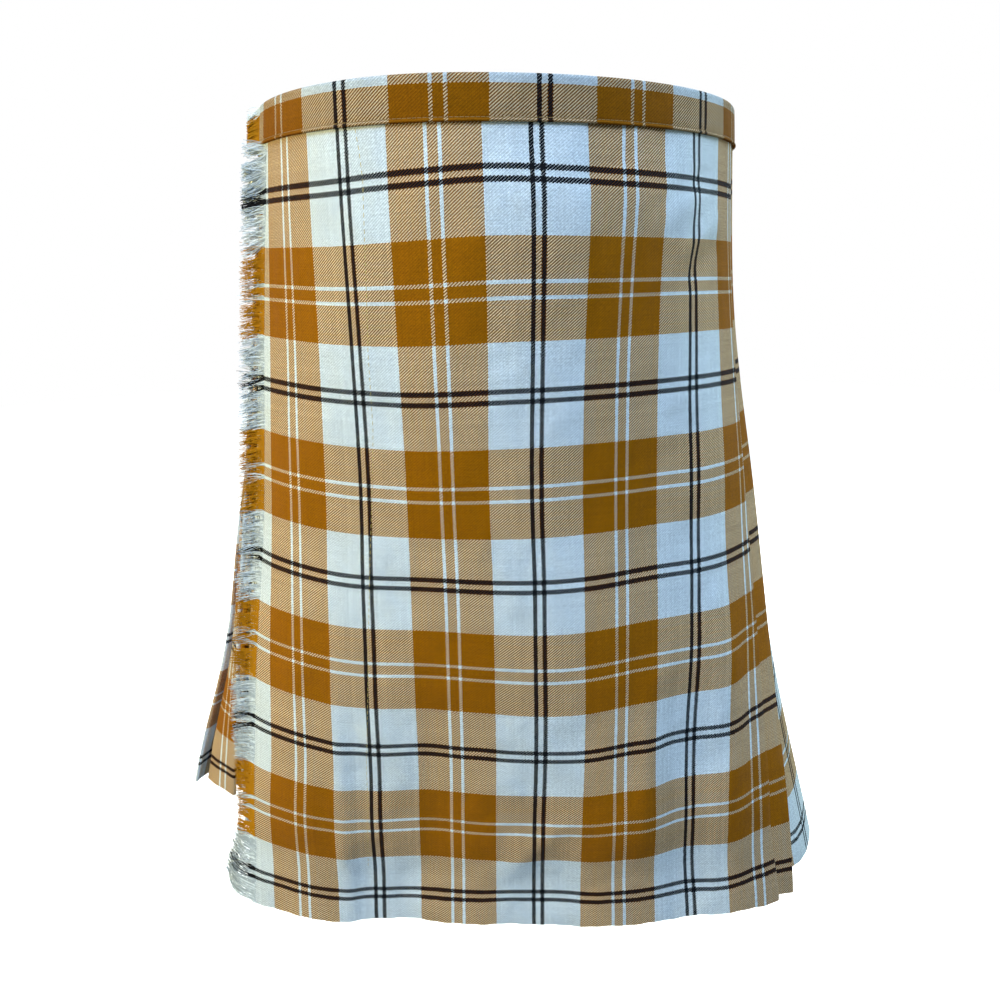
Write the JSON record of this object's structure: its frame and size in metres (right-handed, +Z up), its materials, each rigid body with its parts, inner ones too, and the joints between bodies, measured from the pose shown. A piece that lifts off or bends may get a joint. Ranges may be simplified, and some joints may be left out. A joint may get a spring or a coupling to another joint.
{
  "type": "scottish kilt",
  "caption": "Knee-length wrapped tartan kilt in worn, hollow form: flat fringed front apron, knife pleats round the back, narrow waistband and side straps with buckles.",
  "frame": {"origin": "centre of the waist ring, at mid-height of the waistband", "axes": "+Z up; the wearer faces -Y, with their left hand towards +X"},
  "size_m": [0.5998, 0.389, 0.61],
  "materials": {
    "tartan_cloth": "twill-woven tartan: mustard, white and black on both yarns",
    "waistband_cloth": "the same tartan cut across, mostly mustard",
    "fringe_yarn": "frayed yarn ends",
    "strap_leather": "smooth black",
    "buckle_metal": "polished"
  },
  "bodies": {
    "root": {"outer_apron": "tartan_cloth", "pleated_back": "tartan_cloth", "under_apron": "tartan_cloth", "waistband": "waistband_cloth", "apron_fringe": "fringe_yarn", "band_fringe": "fringe_yarn", "right_strap": "strap_leather", "right_strap_tab": "strap_leather", "right_buckle_frame": "buckle_metal", "right_buckle_prong": "buckle_metal", "right_strap_keeper": "strap_leather", "left_strap": "strap_leather", "left_strap_tab": "strap_leather", "left_buckle_frame": "buckle_metal", "left_buckle_prong": "buckle_metal", "left_strap_keeper": "strap_leather"}
  },
  "joints": []
}
